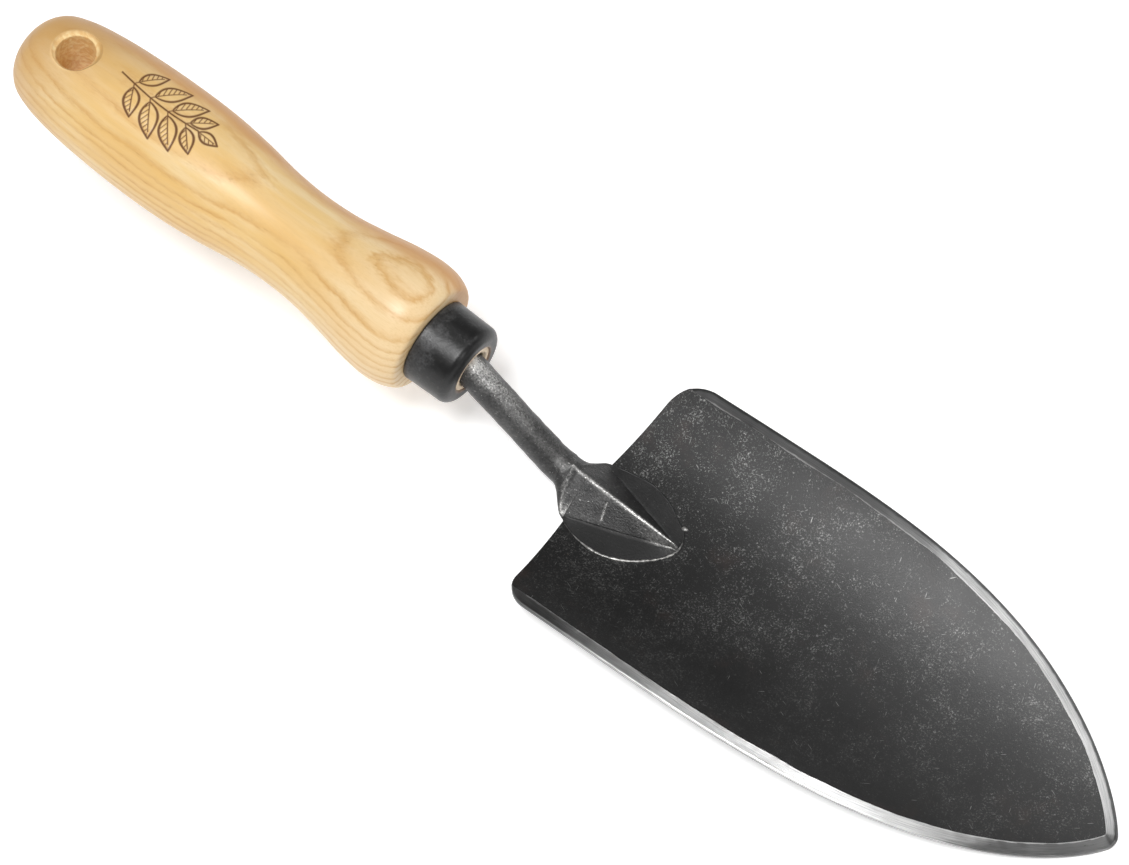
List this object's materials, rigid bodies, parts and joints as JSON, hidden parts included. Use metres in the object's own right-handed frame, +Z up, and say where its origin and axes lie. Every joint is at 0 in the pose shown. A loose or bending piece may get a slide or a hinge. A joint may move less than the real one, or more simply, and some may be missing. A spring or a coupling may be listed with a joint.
{
  "type": "hand trowel",
  "caption": "Hand trowel with a dished, pointed steel blade, a cranked forged neck welded to it, and a turned wooden handle with a ferrule and a hanging hole.",
  "frame": {"origin": "under the middle of the trowel, on the plane that it lies on", "axes": "+X from the butt of the handle to the point of the blade, +Z up out of the hollow side of the blade"},
  "size_m": [0.3262, 0.0736, 0.0577],
  "materials": {
    "blade_steel": "charcoal scale and thin lacquer, satin, with a bright ground edge",
    "forged_steel": "black forged scale, satin, worn bright along its ridges",
    "weld_steel": "dark weld run with bright flecks",
    "ferrule_steel": "black, semi-gloss",
    "ash_wood": "pale ash, clear lacquer, semi-gloss"
  },
  "bodies": {
    "root": {"blade": "blade_steel", "forging": "forged_steel", "weld_bead": "weld_steel", "ferrule": "ferrule_steel", "handle": "ash_wood"}
  },
  "joints": []
}
